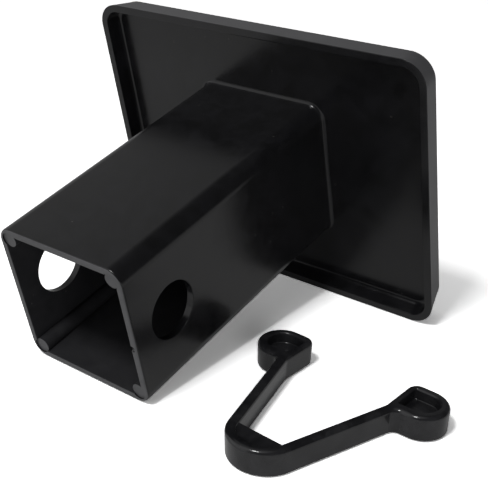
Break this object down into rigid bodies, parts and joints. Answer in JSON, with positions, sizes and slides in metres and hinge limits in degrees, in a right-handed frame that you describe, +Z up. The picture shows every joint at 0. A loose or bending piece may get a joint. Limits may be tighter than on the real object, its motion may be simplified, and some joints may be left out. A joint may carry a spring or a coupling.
{
  "type": "hitch receiver cover",
  "caption": "Hitch receiver cover: a blank tray-backed plate on a hollow square tube, laid down with its loose V-shaped spring clip beside it.",
  "frame": {"origin": "middle of the floor under the lay-out: the bottom centre of the box round the leaning cover and the clip beside it", "axes": "+X runs across the plate's width, towards the side where the clip lies. +Y runs along the floor from the tube's open end to the plate. +Z is up. The cover leans back by 14.4 degrees, on its plate's lower lip edge and its tube's lower end edge."},
  "size_m": [0.1654, 0.1202, 0.0981],
  "materials": {
    "cover_plastic": "black moulded plastic, smooth, semi-gloss",
    "clip_plastic": "black moulded plastic, smooth, a little glossier than the cover"
  },
  "bodies": {
    "root": {"cover": "cover_plastic", "retaining_clip": "clip_plastic"}
  },
  "joints": []
}
